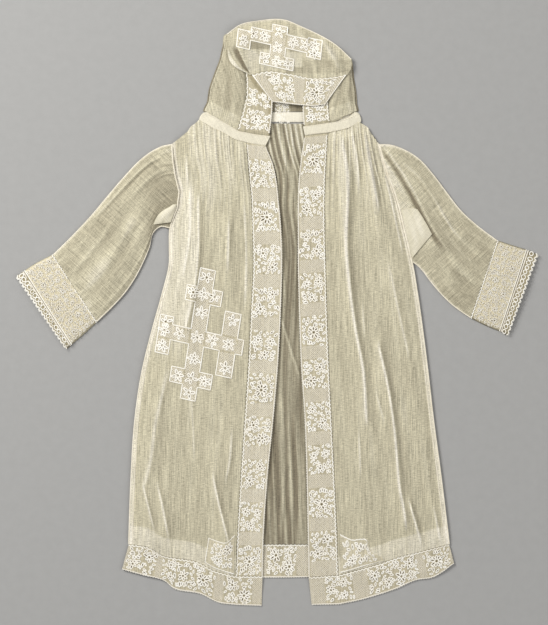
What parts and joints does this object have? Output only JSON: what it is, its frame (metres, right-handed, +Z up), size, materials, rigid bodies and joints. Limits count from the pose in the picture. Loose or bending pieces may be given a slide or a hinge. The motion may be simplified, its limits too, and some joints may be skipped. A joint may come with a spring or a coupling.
{
  "type": "christening gown",
  "caption": "Sheer hooded christening gown with lace bands, cuffs and hem, laid flat with its front open.",
  "frame": {"origin": "on the floor under the middle of the laid-out outline", "axes": "+Z up off the floor, +Y from the hem to the hood, +X to the viewer's right from above"},
  "size_m": [0.54, 0.61, 0.0096],
  "materials": {
    "lawn": "sheer plain weave",
    "lace": "cotton lace"
  },
  "bodies": {
    "root": {"back": "lawn", "back_hem_lace": "lace", "front_left": "lawn", "front_right": "lawn", "front_band_left": "lace", "front_band_right": "lace", "hem_lace_left": "lace", "hem_lace_right": "lace", "corner_lace_left": "lace", "corner_lace_right": "lace", "front_cross": "lace", "sleeve_left": "lawn", "sleeve_right": "lawn", "cuff_lace_left": "lace", "cuff_lace_right": "lace", "cuff_edging_left": "lace", "cuff_edging_right": "lace", "gusset_left": "lawn", "gusset_right": "lawn", "neckband": "lawn", "hood": "lawn", "hood_band_left": "lace", "hood_band_right": "lace", "hood_crown": "lawn", "hood_band_crown": "lace", "hood_cross": "lace"}
  },
  "joints": []
}
